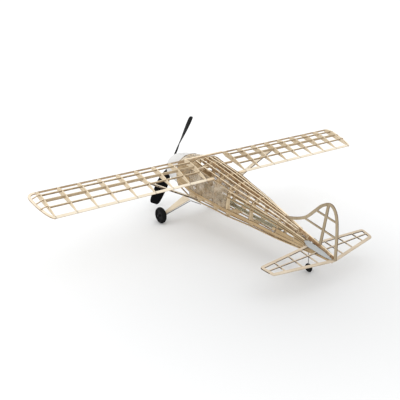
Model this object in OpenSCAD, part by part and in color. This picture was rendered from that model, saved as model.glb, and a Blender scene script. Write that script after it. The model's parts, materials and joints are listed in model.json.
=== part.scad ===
// Rubber-powered scale model of a high-wing bush plane, uncovered balsa framework.
// Millimetres. Nose towards -Y, port wing towards +X, +Z up, standing on its three wheels.
// Parts are drawn on the aircraft's own datum (origin at the wing's trailing edge, on the
// centreline) and then stood on the ground by on_ground().

/* [Stance] */
// Nose-up angle of the datum line when the model stands on its wheels
stance_deg = 11.2; // [8:0.1:13]

/* [Wing] */
// Distance from the centreline to the root rib
root_rib_x = 40; // [38:0.5:44]
// Spacing of the wing ribs
rib_pitch = 31.3; // [28:0.1:32]
// Number of rib bays in each wing
rib_bays = 8; // [7:1:8]
// Wing chord
chord = 64.8; // [60:0.1:68]
// Height of the leading edge above the trailing edge
incidence_rise = 3.7; // [2:0.1:5]
// Greatest depth of a rib
rib_depth = 8.6; // [7:0.1:10]
// Overhang of the curved tip outside the last rib
tip_overhang = 13.8; // [10:0.2:15]

/* [Sheet and strip] */
// Thickness of the laser-cut balsa sheet
sheet = 1.6; // [1.5:0.1:1.8]
// Width of a stringer
strip = 1.6; // [1.4:0.1:1.6]
// Depth of the deeper keels and longerons
deep_strip = 2.4; // [2:0.1:2.6]
// Width of the laminated outlines of the tail surfaces
outline_w = 4.2; // [3:0.1:5]

/* [Propeller] */
// Propeller radius
prop_radius = 84.5; // [70:0.5:84.5]
// Geometric pitch of the blades
prop_pitch = 226; // [150:1:260]
// Angle of the blades from upright, top towards starboard
prop_rest_deg = 21.2; // [0:0.1:90]
// Widest blade chord
blade_chord = 21; // [14:0.5:23]

/* [Undercarriage] */
// Main wheel radius
wheel_r = 13.8; // [12:0.1:14]
// Main wheel width
wheel_w = 8.5; // [6:0.5:9]
// Half the track between the main wheels
half_track = 61; // [58:0.5:64]
// Tail wheel radius
tail_wheel_r = 6.4; // [5:0.1:7]
// Diameter of the undercarriage wire
gear_wire_d = 1.2; // [1:0.1:1.4]

/* [Hidden] */
$fn = 48;

balsa = "burlywood";
balsa_dark = "tan";
gap = 0.15;          // clearance of a notch round a slanting stringer
touch = 0.02;        // clearance between faces that are glued together

// Fuselage stations, aft of the wing's trailing edge: [y, half width at the upper longerons,
// height of the upper longerons, height of the crown, half width of the belly, belly height]
STATIONS = [
    [-96, 24, -14, -4, 18, -61.5], [-59, 26, 3, 6.5, 20, -66], [-32, 27.5, 0, 7.5, 20, -62],
    [3, 27, 0, 6, 20, -56], [32, 24.5, -2, 5, 19.5, -52], [79, 19.2, -3, 3.4, 15, -44.5],
    [129, 11.5, -6, 0.5, 11.5, -38], [160, 7.5, -9, -3, 8.5, -33], [178, 5.4, -11, -5, 6.5, -30],
    [203, 3.2, -13, -8, 4, -26], [226, 1.8, -14.5, -11.5, 2.6, -22.5]
];
FIREWALL_Y = -96;
WINDSCREEN_Y = -59.2;
CABIN_FRONT_Y = -39.6;
CABIN_REAR_Y = 3;
BULKHEAD_Y = 32;
TAIL_FORMERS = [79, 129, 160, 178];
POST_Y = 222;
TOP_STRINGERS = [0.37, 0.72];     // share of the half width
SIDE_STRINGERS = [0.14, 0.27];   // share of the side's height, from the top
LOWER_LONGERON = 0.76;
FLOOR = 0.8;                     // top of the solid floor of a former
BELLY_STRINGER = 0.5;
side_bulge = 1.2;
belly_round = 1.6;

function at(y, column) = lookup(y, [for (s = STATIONS) [s[0], s[column]]]);
function crown_z(y) = at(y, 3);
// Depths of the strips that are cut from wider sheet
function keel_depth(y) = min(lookup(y, [[3, 5], [32, 6]]), crown_z(y) + 16);
function stringer_depth(y, f) = lookup(y, [[3, f < 0.5 ? 4.4 : 2.6], [32, 4.2], [129, 3.6], [160, 2.6]]);
function lower_depth(y) = lookup(y, [[-96, 3.6], [0, 4.6], [129, 4.2], [203, 2.2]]);
function side_height(y) = at(y, 2) - at(y, 5) - 1.6;
function side_share(i, y) = max(SIDE_STRINGERS[i], (4 + 2.5 * i) / side_height(y));
function top_point(y, f, inset = 0) =
    [f * (at(y, 1) - inset), at(y, 2) + (at(y, 3) - at(y, 2)) * (1 - f * f) - inset];
function side_point(y, g, inset = 0) =
    [at(y, 1) + (at(y, 4) - at(y, 1)) * pow(g, 3) + 4 * side_bulge * g * (1 - g) - inset,
     at(y, 2) + (at(y, 5) + belly_round - at(y, 2)) * g];
function belly_point(y, f, inset = 0) =
    [f * (at(y, 4) - inset), at(y, 5) + belly_round * f * f + inset];
function mirrored(half) =
    concat(half, [for (i = [len(half) - 2 : -1 : 1]) [-half[i][0], half[i][1]]]);
function section(y) = mirrored(concat(
    [for (f = [0 : 0.2 : 0.99]) top_point(y, f)],
    [for (g = [0 : 0.125 : 0.99]) side_point(y, g)],
    [for (f = [1 : -0.25 : -0.01]) belly_point(y, f)]));
function opening(y, border) = mirrored(concat(
    [for (f = [0 : 0.25 : 1]) top_point(y, f, border)],
    [for (g = [0.15 : 0.15 : FLOOR - 0.1]) side_point(y, g, border)],
    [[side_point(y, FLOOR, border)[0] - 2, side_point(y, FLOOR)[1]], [0, side_point(y, FLOOR)[1]]]));

function reversed(v) = [for (i = [len(v) - 1 : -1 : 0]) v[i]];
function unit(v) = v / norm(v);
function rib_z(t) = (1 - t) * incidence_rise;
function rib_y(t) = (t - 1) * chord;
function naca(t) = 10 * (0.2969 * sqrt(t) - 0.126 * t - 0.3516 * t * t + 0.2843 * pow(t, 3)
    - 0.1015 * pow(t, 4));
function upper(t) = [rib_y(t), rib_z(t) + rib_depth * naca(t)];
function lower(t) = [rib_y(t), rib_z(t)];

// Points of a smooth curve through hand-placed points: each stretch is a cubic whose end
// directions run parallel to the line between the neighbouring points
function curve_point(a, b, c, d, t) = let (
    m0 = unit(c - a) * norm(c - b), m1 = unit(d - b) * norm(c - b))
    b * (1 + t * t * (2 * t - 3)) + m0 * t * (1 - t) * (1 - t)
    + c * t * t * (3 - 2 * t) - m1 * t * t * (1 - t);
function smooth(p, steps) = [
    for (i = [0 : len(p) - 2], s = [0 : steps - 1])
        curve_point(p[max(i - 1, 0)], p[i], p[i + 1], p[min(i + 2, len(p) - 1)], s / steps),
    p[len(p) - 1]
];
function normal(p, i) = let (d = unit(p[min(i + 1, len(p) - 1)] - p[max(i - 1, 0)])) [-d[1], d[0]];
function band(p, width) =
    concat(p, reversed([for (i = [0 : len(p) - 1]) p[i] + width * normal(p, i)]));

// Straight bar of square section along hand-placed fuselage stations
function run(y0, y1) = concat([y0], [for (s = STATIONS) if (s[0] > y0 && s[0] < y1) s[0]], [y1]);
module swept_bar(path, wide, high) {
    n = len(path);
    corners = [[-1, -1], [1, -1], [1, 1], [-1, 1]];
    points = [for (i = [0 : n - 1], c = corners) let (p = path[i], h = is_list(high) ? high[i] : high)
        [p[0] + c[0] * wide / 2, p[1], p[2] + c[1] * h / 2]];
    sides = [for (i = [0 : n - 2], k = [0 : 3])
        [4 * i + k, 4 * i + (k + 1) % 4, 4 * i + 4 + (k + 1) % 4, 4 * i + 4 + k]];
    polyhedron(points, concat([[3, 2, 1, 0]], sides, [[for (k = [0 : 3]) 4 * (n - 1) + k]]));
}
module top_bar(f, y0, y1, wide = strip)
    swept_bar([for (y = run(y0, y1)) let (p = top_point(y, f, wide / 2))
        [p[0], y, p[1] + wide / 2 - stringer_depth(y, f) / 2]], wide,
        [for (y = run(y0, y1)) stringer_depth(y, f)]);
module side_bar(i, y0, y1, wide = strip)
    swept_bar([for (y = run(y0, y1)) let (p = side_point(y, side_share(i, y), wide / 2))
        [p[0], y, p[1]]], wide, wide);
module belly_bar(f, y0, y1, wide = strip, high = strip)
    swept_bar([for (y = run(y0, y1)) let (p = belly_point(y, f, wide / 2))
        [p[0], y, p[1] + high / 2 - wide / 2]], wide, high);

// Notches that a former has for everything that runs through it at station y
module notch(p, wide, high)
    translate([p[0] - wide / 2 - gap, p[1] - high / 2 - gap])
        square([wide + 2 * gap, high + 2 * gap]);
module notches(y) {
    both_sides() {
        for (f = TOP_STRINGERS) if (y < 165)
            notch(top_point(y, f, strip / 2) - [0, (stringer_depth(y, f) - strip) / 2], strip,
                stringer_depth(y, f));
        if (y < 210) notch(side_point(y, 0, strip / 2) - [0, strip], strip, deep_strip + 1.6);
        for (i = [0, 1]) if (y > 20 && y < 180)
            notch(side_point(y, side_share(i, y), strip / 2), strip, strip);
        notch(side_point(y, LOWER_LONGERON, strip / 2), strip, lower_depth(y));
        if (y < 210) notch(belly_point(y, 1, strip / 2), strip, strip);
        if (y < 165) notch(belly_point(y, BELLY_STRINGER, strip / 2), strip, strip);
    }
    notch([0, crown_z(y) - keel_depth(y) / 2], strip, keel_depth(y));
    notch([0, at(y, 5) + deep_strip / 2], strip, deep_strip);
}
module upright_sheet(y, thickness = sheet)
    translate([0, y + thickness / 2, 0]) rotate([90, 0, 0]) linear_extrude(thickness) children();
module former(y, border)
    color(balsa) upright_sheet(y) difference() {
        polygon(section(y));
        if (border > 0) polygon(opening(y, border));
        notches(y);
    }
module along_x(x0, x1)
    translate([x0, 0, 0]) rotate([90, 0, 90]) linear_extrude(x1 - x0) children();
module both_sides() {
    children();
    mirror([1, 0, 0]) children();
}
module rod(a, b, r)
    translate(a) rotate([0, acos((b - a)[2] / norm(b - a)), atan2((b - a)[1], (b - a)[0])])
        cylinder(h = norm(b - a), r = r);

// Stands the datum frame on the ground and centres it
WHEEL = [half_track, -79.7, -98.4];
function datum_height(p) = -p[1] * sin(stance_deg) + p[2] * cos(stance_deg);
lift = wheel_r - datum_height(WHEEL);
centre_shift = -29.075;   // puts the middle of the overall length over the origin
module on_ground() translate([0, centre_shift, lift]) rotate([-stance_deg, 0, 0]) children();

// ---------------------------------------------------------------- fuselage formers
nose_z = -38.4;
plug = 9.5;          // half size of the nose block's square plug
module firewall()
    on_ground() color(balsa) upright_sheet(FIREWALL_Y) difference() {
        polygon(section(FIREWALL_Y));
        translate([-plug, nose_z - plug]) square(2 * plug);
        both_sides() {
            notch(side_point(FIREWALL_Y, LOWER_LONGERON, strip / 2), strip, lower_depth(FIREWALL_Y));
            notch(belly_point(FIREWALL_Y, 1, strip / 2), strip, strip);
            notch(belly_point(FIREWALL_Y, BELLY_STRINGER, strip / 2), strip, strip);
        }
        notch([0, at(FIREWALL_Y, 5) + deep_strip / 2], strip, deep_strip);
    }
module windscreen_former() on_ground() former(WINDSCREEN_Y, 7);
module cabin_former_front() on_ground() former(CABIN_FRONT_Y, 7);
module cabin_former_rear() on_ground() former(CABIN_REAR_Y, 7);
module cabin_bulkhead() on_ground() former(BULKHEAD_Y, 7.5);
module tail_former_1() on_ground() former(TAIL_FORMERS[0], 7.5);
module tail_former_2() on_ground() former(TAIL_FORMERS[1], 5.2);
module tail_former_3() on_ground() former(TAIL_FORMERS[2], 0);
module tail_former_4() on_ground() former(TAIL_FORMERS[3], 0);
module tail_post()
    on_ground() color(balsa) upright_sheet(POST_Y, 2) difference() {
        polygon(section(POST_Y));
        notch([0, crown_z(POST_Y) - keel_depth(POST_Y) / 2], strip, keel_depth(POST_Y));
        notch([0, at(POST_Y, 5) + deep_strip / 2], strip, deep_strip);
        both_sides()
            notch(side_point(POST_Y, LOWER_LONGERON, strip / 2), strip, lower_depth(POST_Y));
    }

// ---------------------------------------------------------------- longerons and stringers
LONGERON_START = WINDSCREEN_Y;
NOSE_START = FIREWALL_Y - 0.8;
module top_keel() on_ground() color(balsa)
    swept_bar([for (y = run(LONGERON_START, 226)) [0, y, crown_z(y) - keel_depth(y) / 2]],
        strip, [for (y = run(LONGERON_START, 226)) keel_depth(y)]);
module bottom_keel() on_ground() color(balsa_dark)
    swept_bar([for (y = run(NOSE_START, 226)) [0, y, at(y, 5) + deep_strip / 2]],
        strip, deep_strip);
module upper_longeron()
    swept_bar([for (y = run(LONGERON_START, 203)) let (p = side_point(y, 0, strip / 2))
        [p[0], y, p[1] - strip]], strip, deep_strip);
module left_upper_longeron() on_ground() color(balsa) upper_longeron();
module right_upper_longeron() on_ground() color(balsa) mirror([1, 0, 0]) upper_longeron();
module lower_longeron() {
    swept_bar([for (y = run(NOSE_START, 224)) let (p = side_point(y, LOWER_LONGERON, strip / 2))
        [p[0], y, p[1]]], strip, [for (y = run(NOSE_START, 224)) lower_depth(y)]);
    belly_bar(1, NOSE_START, 195);
}
module left_lower_longeron() on_ground() color(balsa_dark) lower_longeron();
module right_lower_longeron() on_ground() color(balsa_dark) mirror([1, 0, 0]) lower_longeron();
module top_stringers() on_ground() color(balsa)
    for (f = TOP_STRINGERS) both_sides() top_bar(f, LONGERON_START, 160.8);
module belly_stringers() on_ground() color(balsa_dark)
    both_sides() belly_bar(BELLY_STRINGER, NOSE_START, 160.8);
// Sheet infill let in between two formers: [first station, last station, top, foot] as shares
// of the side's height
SIDE_PANELS = [[FIREWALL_Y, WINDSCREEN_Y, 0.42, 0.71], [TAIL_FORMERS[1], TAIL_FORMERS[2], 0.43, 0.66],
    [TAIL_FORMERS[2], TAIL_FORMERS[3], 0.43, 0.66], [TAIL_FORMERS[3], 203, 0.5, 0.66]];
NOSE_STRINGER = 0.2;
function panel_grid(p, inset) = [for (i = [0 : 3])
    let (y = p[0] + sheet / 2 + touch + (p[1] - p[0] - sheet - 2 * touch) * i / 3)
    [for (j = [0 : 3]) let (q = side_point(y, p[2] + (p[3] - p[2]) * j / 3, inset)) [q[0], y, q[1]]]];
module side_panel(p) sheet_between(panel_grid(p, 1.1), panel_grid(p, 0.1));
module side_stringers() {
    for (i = [0, 1]) side_bar(i, BULKHEAD_Y - 0.8, 178.8);
    for (p = SIDE_PANELS) side_panel(p);
    swept_bar([for (y = [FIREWALL_Y + sheet / 2 + touch, WINDSCREEN_Y - sheet / 2 - touch])
        let (q = side_point(y, NOSE_STRINGER, strip / 2)) [q[0], y, q[1]]], strip, strip);
}
module left_side_stringers() on_ground() color(balsa) side_stringers();
module right_side_stringers() on_ground() color(balsa) mirror([1, 0, 0]) side_stringers();

// ---------------------------------------------------------------- glazing
// Thin sheet between two grids of points with the same rows and columns. Turning from a column
// to a row of the first grid, the thumb of the right hand points into the sheet.
module sheet_between(first, second) {
    n = len(first);
    m = len(first[0]);
    function o(i, j) = i * m + j;
    function k(i, j) = n * m + i * m + j;
    rim = concat([for (j = [0 : m - 1]) [0, j]], [for (i = [1 : n - 1]) [i, m - 1]],
        [for (j = [m - 2 : -1 : 0]) [n - 1, j]], [for (i = [n - 2 : -1 : 1]) [i, 0]]);
    q = len(rim);
    polyhedron(concat([for (r = first, p = r) p], [for (r = second, p = r) p]), concat(
        [for (i = [0 : n - 2], j = [0 : m - 2], t = [0, 1]) t == 0
            ? [o(i, j), o(i, j + 1), o(i + 1, j + 1)] : [o(i, j), o(i + 1, j + 1), o(i + 1, j)]],
        [for (i = [0 : n - 2], j = [0 : m - 2], t = [0, 1]) t == 0
            ? [k(i, j), k(i + 1, j + 1), k(i, j + 1)] : [k(i, j), k(i + 1, j), k(i + 1, j + 1)]],
        [for (a = [0 : q - 1]) let (b = (a + 1) % q) [o(rim[a][0], rim[a][1]),
            k(rim[a][0], rim[a][1]), k(rim[b][0], rim[b][1]), o(rim[b][0], rim[b][1])]]));
}
pane_t = 0.4;
pane_gap = 0.2;
PANE_TOP = 0.03;
PANE_FOOT = 0.7;
function side_grid(y0, y1, out) = [for (y = [y0, (y0 + y1) / 2, y1])
    [for (i = [0 : 8]) let (p = side_point(y, PANE_TOP + (PANE_FOOT - PANE_TOP) * i / 8, -out))
        [p[0], y, p[1]]]];
module side_pane(y0, y1)
    sheet_between(side_grid(y0, y1, pane_gap), side_grid(y0, y1, pane_gap + pane_t));
module windows() {
    side_pane(WINDSCREEN_Y + 0.4, CABIN_FRONT_Y - 0.2);
    side_pane(CABIN_FRONT_Y + 0.2, CABIN_REAR_Y - 0.2);
    side_pane(CABIN_REAR_Y + 0.2, BULKHEAD_Y);
}
pane_color = [0.85, 0.87, 0.88, 0.6];
module left_windows() on_ground() color(pane_color) windows();
module right_windows() on_ground() color(pane_color) mirror([1, 0, 0]) windows();

SCREEN_TOP = -64.7;
SCREEN_FOOT = -95.1;
function screen_point(f, y, up) = let (t = (y - SCREEN_FOOT) / (SCREEN_TOP - SCREEN_FOOT),
    a = top_point(FIREWALL_Y, f), b = top_point(WINDSCREEN_Y, f), p = a + (b - a) * t)
    [p[0], y, p[1] + up];
function screen_grid(up) = [for (i = [0 : 8]) let (y = SCREEN_FOOT + (SCREEN_TOP - SCREEN_FOOT) * i / 8)
    [for (f = [1 : -0.125 : -1]) screen_point(f, y, up)]];
module windscreen_frame() on_ground() color(balsa)
    for (f = [-0.97, -0.4, 0, 0.4, 0.97])
        swept_bar([for (y = [SCREEN_FOOT, SCREEN_TOP])
            screen_point(f, y, abs(f) > 0.9 ? -1.8 : -1.3)], strip, 2);
module windscreen() on_ground() color(pane_color)
    sheet_between(screen_grid(pane_gap + pane_t), screen_grid(pane_gap));

// ---------------------------------------------------------------- nose
module towards_nose(y) translate([0, y, nose_z]) rotate([90, 0, 0]) children();
cowl_t = 0.8;
// Rings of the cowl: [y, half width, top, bottom, squareness], firewall first
COWL = [[-96.84, 24.4, -3.8, -61.4, 2.8], [-104, 24.9, -6.4, -61.4, 2.7], [-112, 25, -9.3, -61.2, 2.5],
    [-119, 24.6, -12, -60.8, 2.4], [-125, 23.4, -14.8, -60.2, 2.2], [-130, 21.4, -17.4, -59, 2.1],
    [-133.6, 18.8, -20, -56.8, 2], [-135.4, 16.4, -22.2, -54.6, 2], [-136, 13.6, -24.8, -52, 2]];
nose_front = -136;
shaft_r = 0.6;
running_gap = 0.05;
function arc(c, r, a0, a1) = [for (i = [0 : 8]) let (a = a0 + (a1 - a0) * i / 8)
    c + r * [cos(a), sin(a)]];
function power(v, n) = sign(v) * pow(abs(v), 2 / n);
function cowl_ring(c, t, back) = [for (i = [0 : 31]) let (a = i * 11.25 + 5.625)
    [(c[1] - t) * power(cos(a), c[4]), c[0] + back,
        (c[2] + c[3]) / 2 + ((c[2] - c[3]) / 2 - t) * power(sin(a), c[4])]];
module cowling() on_ground() color("white") {
    n = len(COWL);
    rings = concat([for (c = COWL) cowl_ring(c, 0, 0)],
        [for (i = [n - 1 : -1 : 0]) cowl_ring(COWL[i], i == n - 1 ? 0 : cowl_t,
            i == 0 ? 0 : cowl_t)]);
    polyhedron([for (r = rings, p = r) p], [for (k = [0 : 2 * n - 1], i = [0 : 31], t = [0, 1])
        let (m = (k + 1) % (2 * n), j = (i + 1) % 32) t == 0
            ? [32 * k + i, 32 * m + i, 32 * m + j] : [32 * k + i, 32 * m + j, 32 * k + j]]);
}
bearing_r = 2;
module nose_block() on_ground() color(balsa) difference() {
    union() {
        translate([-plug + touch, FIREWALL_Y - 1, nose_z - plug + touch])
            cube([2 * (plug - touch), 5, 2 * (plug - touch)]);
        towards_nose(FIREWALL_Y - 0.8 - touch) rotate_extrude() polygon([[0, 0], [14.5, 0],
            [14.5, 20], [12.5, 25], [8, 30], [6.5, 34], [6.5, 39.18], [0, 39.18]]);
    }
    towards_nose(FIREWALL_Y + 6) cylinder(h = 60, r = bearing_r);
}
module thrust_bearing() on_ground() color("ivory") towards_nose(FIREWALL_Y + 4)
    difference() {
        union() {
            cylinder(h = FIREWALL_Y + 4 - nose_front, r = bearing_r);
            translate([0, 0, FIREWALL_Y + 4 - nose_front + touch]) cylinder(h = 1.46, r = 4);
        }
        translate([0, 0, -1]) cylinder(h = 50, r = shaft_r + running_gap);
    }
module ring(r0, r1, h) difference() {
    cylinder(h = h, r = r1);
    translate([0, 0, -1]) cylinder(h = h + 2, r = r0);
}
washer_y = nose_front - 1.5 - 0.1;
module thrust_washer() on_ground() color("goldenrod") towards_nose(washer_y)
    ring(shaft_r + running_gap, 3, 1.4);
hub_y = washer_y - 1.5;
hub_len = 9;
hub_r = 4.6;
hook_y = -85;
hook_r = 3;
module prop_shaft() on_ground() color("silver") {
    towards_nose(hook_y - hook_r) cylinder(h = -(hub_y - hub_len - 2.6) + hook_y - hook_r,
        r = shaft_r);
    towards_nose(hub_y - hub_len - touch) cylinder(h = 1.4, r = 1.8);
    translate([0, hook_y, nose_z]) rotate([0, 90, 0]) rotate_extrude()
        translate([hook_r, 0]) circle(r = shaft_r);
}

// Blade sections: radius, share of the widest chord, thickness
BLADE = [[2, 0.2, 3.2], [8, 0.22, 3], [14, 0.3, 2.6], [20, 0.46, 2.3], [28, 0.74, 2], [38, 0.93, 1.8],
    [50, 1, 1.6], [64, 0.98, 1.4], [74, 0.93, 1.2], [80, 0.84, 1.1], [83, 0.7, 1], [84.5, 0.5, 0.8]];
function blade_section(b) = let (r = b[0] * prop_radius / 84.5, c = b[1] * blade_chord,
    a = min(68, atan(prop_pitch / (2 * PI * max(r, 1))))) [for (i = [0 : 11])
    let (u = c / 2 * cos(30 * i), v = b[2] / 2 * sin(30 * i) + c * 0.05 * (1 - pow(cos(30 * i), 2)))
    [-u * cos(a) + v * sin(a), -u * sin(a) - v * cos(a), r]];
module blade() {
    n = len(BLADE);
    polyhedron([for (b = BLADE, p = blade_section(b)) p], concat(
        [[for (i = [0 : 11]) i]],
        [for (s = [0 : n - 2], i = [0 : 11], t = [0, 1]) let (a = 12 * s + i, b = 12 * s + (i + 1) % 12)
            t == 0 ? [a, a + 12, b + 12] : [a, b + 12, b]],
        [[for (i = [11 : -1 : 0]) 12 * (n - 1) + i]]));
}
module propeller() on_ground() color([0.1, 0.1, 0.1])
    difference() {
        union() {
            towards_nose(hub_y) cylinder(h = hub_len, r = hub_r);
            translate([0, hub_y - hub_len / 2, nose_z]) rotate([0, -prop_rest_deg, 0]) {
                blade();
                rotate([0, 180, 0]) blade();
            }
        }
        towards_nose(hub_y + 1) cylinder(h = hub_len + 2, r = shaft_r);
    }

// ---------------------------------------------------------------- rubber motor and rear peg
PEG = [0, 125.6, -25.5];
peg_r = 1.6;
peg_bore_r = 1.1;
peg_half = 14.5;
// Slack skein of rubber: [y, height, half height, half width]
MOTOR = [[-81.2, -38.4, 1.6, 1.3], [-70, -38.8, 2.2, 2], [-50, -39.4, 3.2, 2.8], [-20, -39, 4.2, 3.4],
    [8, -37.4, 4.8, 3.8], [32, -34.6, 5, 4], [55, -31.4, 5.4, 4.2], [79, -28.8, 5.3, 4.2],
    [100, -27.2, 4.8, 4], [114, -26.2, 3.6, 3.6], [123.7, -26, 2.4, 3]];
module rubber_motor() on_ground() color("darkseagreen") {
    n = len(MOTOR);
    polyhedron([for (m = MOTOR, i = [0 : 9]) [m[3] * cos(36 * i), m[0], m[1] + m[2] * sin(36 * i)]],
        concat([[for (i = [9 : -1 : 0]) i]],
        [for (s = [0 : n - 2], i = [0 : 9], t = [0, 1]) let (a = 10 * s + i, b = 10 * s + (i + 1) % 10)
            t == 0 ? [a, b, b + 10] : [a, b + 10, a + 10]],
        [[for (i = [0 : 9]) 10 * (n - 1) + i]]));
}
module across(p, half) translate(p - [half, 0, 0]) rotate([0, 90, 0]) children();
module rear_peg() on_ground() color("silver") across(PEG, peg_half)
    ring(peg_bore_r, peg_r, 2 * peg_half);
module peg_plates() on_ground() color("tan") both_sides() difference() {
    translate([10.2, 120.6, -27.05]) cube([1, 7.5, 5.7]);
    across(PEG, 20) cylinder(h = 40, r = peg_r);
}
// ---------------------------------------------------------------- wing
LE_BACK = 0.05;      // share of the chord where the leading edge strip ends
TE_FRONT = 0.93;     // and where the trailing edge strip begins
SPAR_AT = 0.45;
TURBULATORS = [0.27, 0.67];
RIB_FLAT = 0.17;     // share of the chord where a rib's flat underside begins
le_depth = 3.3;
spar_foot = 3.7;
tip_rib_x = root_rib_x + rib_bays * rib_pitch;
tip_face_x = tip_rib_x + sheet / 2;
module rib_outline() polygon(concat(
    [for (i = [0 : 14]) upper(LE_BACK + (TE_FRONT - LE_BACK) * i / 14)],
    [lower(TE_FRONT), lower(RIB_FLAT), upper(LE_BACK) - [0, le_depth]]));
module spar_shape() {
    y = rib_y(SPAR_AT);
    foot = rib_z(SPAR_AT) + spar_foot;
    translate([y - sheet / 2, foot]) square([sheet, upper(SPAR_AT + sheet / 2 / chord)[1] - foot]);
}
module turbulator_shape(t, over = 0)
    translate([rib_y(t) - strip / 2, upper(t + strip / 2 / chord)[1] - deep_strip])
        square([strip, deep_strip + over]);
module wing_ribs()
    for (i = [0 : rib_bays]) let (x = root_rib_x + i * rib_pitch)
        along_x(x - sheet / 2, x + sheet / 2) difference() {
            rib_outline();
            spar_shape();
            translate([0, 1]) spar_shape();
            for (t = TURBULATORS) turbulator_shape(t, 2);
        }
module over_wing() along_x(root_rib_x - sheet / 2, tip_face_x) children();
module leading_edge() over_wing() polygon([upper(LE_BACK) - [0, le_depth], lower(0) + [0.6, 1.6],
    lower(0) + [0, 2.2], upper(0.015), upper(0.03), upper(LE_BACK)]);
module trailing_edge() over_wing()
    polygon([upper(TE_FRONT), lower(1) + [0, 0.7], lower(1), lower(TE_FRONT)]);
module main_spar() over_wing() spar_shape();
module turbulators() over_wing() for (t = TURBULATORS) turbulator_shape(t);
module left_wing_ribs() on_ground() color(balsa) wing_ribs();
module right_wing_ribs() on_ground() color(balsa) mirror([1, 0, 0]) wing_ribs();
module left_leading_edge() on_ground() color(balsa) leading_edge();
module right_leading_edge() on_ground() color(balsa) mirror([1, 0, 0]) leading_edge();
module left_trailing_edge() on_ground() color(balsa) trailing_edge();
module right_trailing_edge() on_ground() color(balsa) mirror([1, 0, 0]) trailing_edge();
module left_main_spar() on_ground() color(balsa) main_spar();
module right_main_spar() on_ground() color(balsa) mirror([1, 0, 0]) main_spar();
module turbulator_spars() on_ground() color(balsa) both_sides() turbulators();

// Curved tip: hand-placed points, outboard of the last rib and aft of the leading edge
TIP = [[-8, 0], [0, 0], [7, 1], [12.4, 6], [13.8, 13], [13.3, 24], [11.4, 38], [7.8, 54], [2, 64.6],
    [-6, 66]];
tip_w = 3.8;
tip_rise = incidence_rise + 1.8;
module tip_plane(x) translate([x, 0, 0]) rotate([-atan(tip_rise / chord), 0, 0]) children();
module wing_tip() {
    tip_plane(tip_face_x + touch) linear_extrude(sheet) intersection() {
        polygon(band(smooth([for (p = TIP) [p[0] * tip_overhang / 13.8, p[1] - chord]], 6), tip_w));
        translate([0, -80]) square([30, 100]);
    }
    for (t = [0.22, 0.42, 0.62])
        swept_bar_x([[tip_face_x + touch, rib_y(t), rib_z(t) + rib_depth * naca(t) - 1.2],
            [tip_face_x + tip_overhang - 4, rib_y(t) + 1, (1 - t) * tip_rise + sheet + 0.9]],
            strip, strip);
}
module swept_bar_x(ends, wide, high) {
    points = [for (e = ends, c = [[1, -1], [-1, -1], [-1, 1], [1, 1]])
        [e[0], e[1] + c[0] * wide / 2, e[2] + c[1] * high / 2]];
    polyhedron(points, [[3, 2, 1, 0], [0, 1, 5, 4], [1, 2, 6, 5], [2, 3, 7, 6], [3, 0, 4, 7],
        [4, 5, 6, 7]]);
}
module left_wing_tip() on_ground() color(balsa) wing_tip();
module right_wing_tip() on_ground() color(balsa) mirror([1, 0, 0]) wing_tip();

// Members that join the two root ribs through the cabin roof
inner_x = root_rib_x - sheet / 2 - touch;
module centre_section() on_ground() color(balsa) {
    along_x(-inner_x, inner_x) translate([-chord + 0.2, 5.5]) square([3, 2.6]);
    both_sides() along_x(25.6, inner_x)
        polygon([[-4.6, -0.36], [-4.6, 1.7], [0, 0.9], [0, -0.36]]);
    difference() {
        along_x(-inner_x, inner_x) translate([rib_y(SPAR_AT) - sheet / 2, 0.12]) square([sheet, 3.58]);
        both_sides() for (f = TOP_STRINGERS)
            let (y = rib_y(SPAR_AT), p = top_point(y, f, strip / 2))
                translate([p[0] - strip / 2 - gap, y - 6, p[1] + strip / 2 - stringer_depth(y, f) - gap])
                    cube([strip + 2 * gap, 12, 8]);
        translate([-strip / 2 - gap, -50, crown_z(rib_y(SPAR_AT)) - 5 - gap])
            cube([strip + 2 * gap, 30, 8]);
    }
}

// Wing strut: a flat strip from the lower longeron to the underside of a wing rib
STRUT_FOOT = [21.4, -39.4, -56.6];
strut_rib = 3;
strut_w = 6;
strut_t = 2.2;
module wing_strut() {
    top = [root_rib_x + strut_rib * rib_pitch, -44.3, 1.3];
    run_x = top[0] - STRUT_FOOT[0];
    rise = top[2] - STRUT_FOOT[2];
    intersection() {
        translate(STRUT_FOOT) rotate([0, -atan(rise / run_x), atan((top[1] - STRUT_FOOT[1]) / run_x)])
            translate([-6, -strut_w / 2, -strut_t / 2]) cube([140, strut_w, strut_t]);
        translate([STRUT_FOOT[0] + 1.3, -80, -80]) cube([top[0] + 2 - STRUT_FOOT[0], 80, 82.2]);
    }
}
module left_wing_strut() on_ground() color(balsa) wing_strut();
module right_wing_strut() on_ground() color(balsa) mirror([1, 0, 0]) wing_strut();

// ---------------------------------------------------------------- undercarriage
LEG_TOP = [20.6, -66.6];
LEG_FOOT = [53.6, -97.2];
wire_r = gear_wire_d / 2;
leg_len = norm(LEG_FOOT - LEG_TOP);
leg_fall = atan((LEG_TOP[1] - LEG_FOOT[1]) / (LEG_FOOT[0] - LEG_TOP[0]));
module gear_leg() translate([LEG_TOP[0], 0, LEG_TOP[1]]) rotate([0, leg_fall, 0])
    linear_extrude(sheet, center = true)
        polygon([[0, -74], [0, -57.6], [leg_len, -77.4], [leg_len, -82.8]]);
module left_gear_leg() on_ground() color(balsa) gear_leg();
module right_gear_leg() on_ground() color(balsa) mirror([1, 0, 0]) gear_leg();
module wire(path, r) {
    for (i = [0 : len(path) - 2]) rod(path[i], path[i + 1], r);
    for (i = [1 : len(path) - 2]) translate(path[i]) sphere(r * 1.15);
}
axle_end = half_track + wheel_w / 2 + 2.4;
module axle_wire() wire([[17, -34, -64], [20.4, -56.2, -68.2], [53.4, -76, -97.6],
    [54.7, WHEEL[1], WHEEL[2]], [axle_end, WHEEL[1], WHEEL[2]]], wire_r);
module axle_wires() on_ground() color("dimgray") both_sides() axle_wire();
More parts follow.
